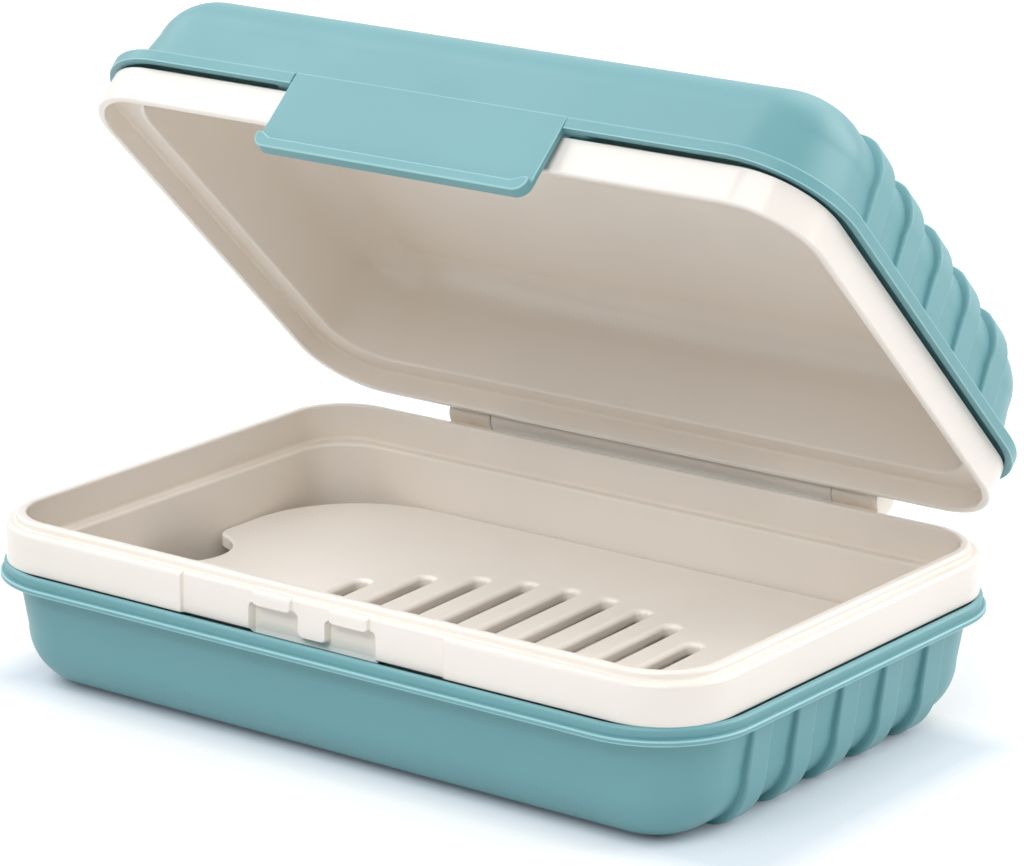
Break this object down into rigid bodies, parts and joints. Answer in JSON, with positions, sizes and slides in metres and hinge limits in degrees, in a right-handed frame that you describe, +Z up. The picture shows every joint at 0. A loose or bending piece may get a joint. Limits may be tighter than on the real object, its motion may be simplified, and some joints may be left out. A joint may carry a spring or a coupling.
{
  "type": "travel soap box",
  "caption": "Clamshell travel soap box with a pin-hinged lid, a front latch flap and a lift-out drain tray.",
  "frame": {"origin": "centre of the flat face that the closed or open box rests on", "axes": "+X along the box's length, -Y towards the latch, +Z up from the table"},
  "size_m": [0.1234, 0.0918, 0.0928],
  "materials": {
    "base_blue": "fine satin moulded polypropylene, dusty blue",
    "lid_blue": "fine satin moulded polypropylene, dusty blue",
    "liner_cream": "smooth satin moulded polypropylene, warm cream",
    "tray_cream": "smooth satin moulded polypropylene, warm cream",
    "pin_steel": "drawn stainless wire"
  },
  "bodies": {
    "base": {"base_shell": "base_blue", "base_liner": "liner_cream", "hinge_pin": "pin_steel"},
    "lid": {"lid_shell": "lid_blue", "lid_liner": "liner_cream", "latch_pin": "pin_steel"},
    "flap": {"latch_flap": "lid_blue"},
    "tray": {"soap_tray": "tray_cream"}
  },
  "joints": [
    {"name": "lid_hinge", "type": "hinge", "parent": "base", "child": "lid", "pos_m": [0, 0.043, 0.02555], "axis": [-1, 0, 0], "range_deg": [-43.5, 136.5]},
    {"name": "latch_hinge", "type": "hinge", "parent": "lid", "child": "flap", "pos_m": [0, -0.01417, 0.08704], "axis": [-1, 0, 0], "range_deg": [-4, 86]},
    {"name": "tray_lift", "type": "slide", "parent": "base", "child": "tray", "axis": [0, 0, 1], "range_m": [0, 0.024]}
  ]
}
